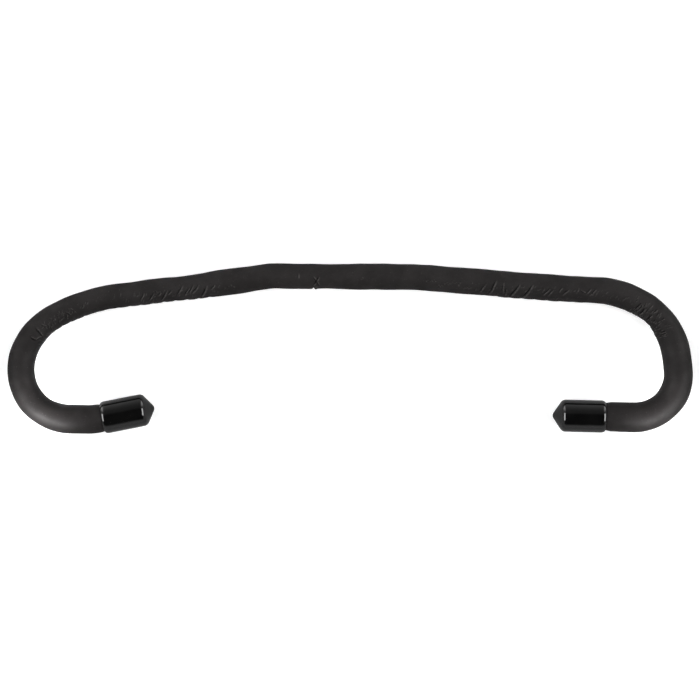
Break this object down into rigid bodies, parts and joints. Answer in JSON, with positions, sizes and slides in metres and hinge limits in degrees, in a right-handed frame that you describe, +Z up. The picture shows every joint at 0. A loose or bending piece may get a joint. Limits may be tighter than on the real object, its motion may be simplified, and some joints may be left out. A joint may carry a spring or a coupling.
{
  "type": "bendable holding bar",
  "caption": "Hand-bendable metal bar in a black foam sleeve, with both ends curled into hooks and capped, for holding a bicycle's wheel to its frame.",
  "frame": {"origin": "on the surface that the bar lies on, below the middle of its box", "axes": "+X along the bar, to the right as seen from above with the span at the far side; +Y from the hooks' lower arms towards the span; +Z up off the surface, square to the plane in which the bar is bent"},
  "size_m": [0.3968, 0.0982, 0.0187],
  "materials": {
    "foam_skin": "matte",
    "cap_vinyl": "gloss",
    "core_metal": "satin"
  },
  "bodies": {
    "bar": {"core_rod": "core_metal", "foam_sleeve_span": "foam_skin"},
    "left_hook": {"foam_sleeve_left_hook": "foam_skin"},
    "right_hook": {"foam_sleeve_right_hook": "foam_skin"},
    "left_cap": {"end_cap_left": "cap_vinyl"},
    "right_cap": {"end_cap_right": "cap_vinyl"}
  },
  "joints": [
    {"name": "left_hook_bend", "type": "hinge", "parent": "bar", "child": "left_hook", "pos_m": [-0.19053, -0.01226, 0.00935], "axis": [0, 0, -1], "range_deg": [-25, 30], "deforming": ["core_rod"]},
    {"name": "right_hook_bend", "type": "hinge", "parent": "bar", "child": "right_hook", "pos_m": [0.19018, -0.01472, 0.00935], "axis": [0, 0, 1], "range_deg": [-25, 30], "deforming": ["core_rod"]},
    {"name": "left_cap_pull", "type": "slide", "parent": "left_hook", "child": "left_cap", "axis": [0.981, 0.1942, 0], "range_m": [0, 0.022]},
    {"name": "right_cap_pull", "type": "slide", "parent": "right_hook", "child": "right_cap", "axis": [-0.9997, 0.0227, 0], "range_m": [0, 0.022]}
  ]
}
